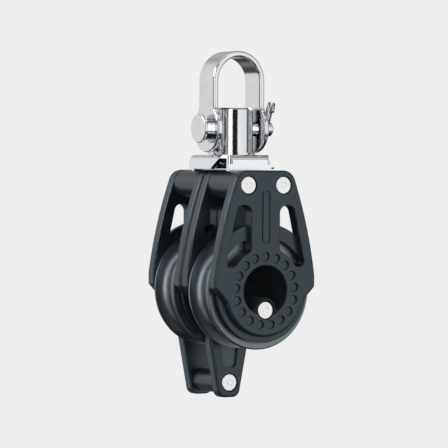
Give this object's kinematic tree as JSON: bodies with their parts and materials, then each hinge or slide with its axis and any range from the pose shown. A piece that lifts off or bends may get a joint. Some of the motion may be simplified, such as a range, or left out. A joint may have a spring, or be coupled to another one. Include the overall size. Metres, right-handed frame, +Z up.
{
  "type": "double sheave block",
  "caption": "Ball-bearing double sheave block with moulded cheeks, becket, swivel post and strap shackle with clevis pin and split ring.",
  "frame": {"origin": "on the sheave axle line, midway between the two sheaves, in the centre hole", "axes": "+Z up to the shackle crown, +Y along the axle line away from the front cheek, +X across the block"},
  "size_m": [0.0427, 0.045, 0.1186],
  "materials": {
    "moulded_nylon": "satin, fine mould texture",
    "sheave_acetal": "smooth satin",
    "retainer_acetal": "smooth satin",
    "ball_acetal": "smooth",
    "polished_steel": "mirror polished",
    "plate_steel": "polished",
    "rivet_steel": "satin, turned",
    "ring_wire": "drawn wire"
  },
  "bodies": {
    "shackle": {"shackle_bow": "polished_steel"},
    "pin": {"clevis_pin": "polished_steel"},
    "ring": {"cotter_ring": "ring_wire"},
    "post": {"swivel_post": "polished_steel", "upper_swivel_washer": "polished_steel", "lower_swivel_washer": "polished_steel"},
    "block": {"head_plate": "plate_steel", "front_outer_cheek": "moulded_nylon", "front_inner_cheek": "moulded_nylon", "rear_inner_cheek": "moulded_nylon", "rear_outer_cheek": "moulded_nylon", "left_head_rivet": "rivet_steel", "right_head_rivet": "rivet_steel", "centre_rivet": "rivet_steel", "becket_rivet": "rivet_steel", "spacer_washers": "rivet_steel"},
    "front_wheel": {"front_sheave_near_half": "sheave_acetal", "front_sheave_far_half": "sheave_acetal", "front_ball_retainers": "retainer_acetal"},
    "rear_wheel": {"rear_sheave_near_half": "sheave_acetal", "rear_sheave_far_half": "sheave_acetal", "rear_ball_retainers": "retainer_acetal"},
    "front_balls": {"front_balls_row_a": "ball_acetal", "front_balls_row_b": "ball_acetal"},
    "rear_balls": {"rear_balls_row_a": "ball_acetal", "rear_balls_row_b": "ball_acetal"}
  },
  "joints": [
    {"name": "shackle_swing", "type": "hinge", "parent": "shackle", "child": "post", "pos_m": [0, 0, 0.0547], "axis": [1, 0, 0], "range_deg": [-105, 105]},
    {"name": "pin_turn", "type": "hinge", "parent": "shackle", "child": "pin", "pos_m": [0, 0, 0.0547], "axis": [1, 0, 0], "continuous": true},
    {"name": "ring_flip", "type": "hinge", "parent": "pin", "child": "ring", "pos_m": [0.01385, 0, 0.0547], "axis": [0, -0.342, 0.9397], "range_deg": [-125, 18]},
    {"name": "swivel", "type": "hinge", "parent": "post", "child": "block", "pos_m": [0, 0, 0.045], "axis": [0, 0, 1], "continuous": true},
    {"name": "front_sheave_spin", "type": "hinge", "parent": "block", "child": "front_wheel", "pos_m": [0, -0.0114, 0], "axis": [0, 1, 0], "continuous": true},
    {"name": "rear_sheave_spin", "type": "hinge", "parent": "block", "child": "rear_wheel", "pos_m": [0, 0.0114, 0], "axis": [0, 1, 0], "continuous": true},
    {"name": "front_ball_orbit", "type": "hinge", "parent": "block", "child": "front_balls", "pos_m": [0, -0.0114, 0], "axis": [0, 1, 0], "continuous": true},
    {"name": "rear_ball_orbit", "type": "hinge", "parent": "block", "child": "rear_balls", "pos_m": [0, 0.0114, 0], "axis": [0, 1, 0], "continuous": true}
  ],
  "couplings": [
    {"joint": "front_ball_orbit", "follows": "front_sheave_spin", "ratio": 0.569},
    {"joint": "rear_ball_orbit", "follows": "rear_sheave_spin", "ratio": 0.569}
  ]
}
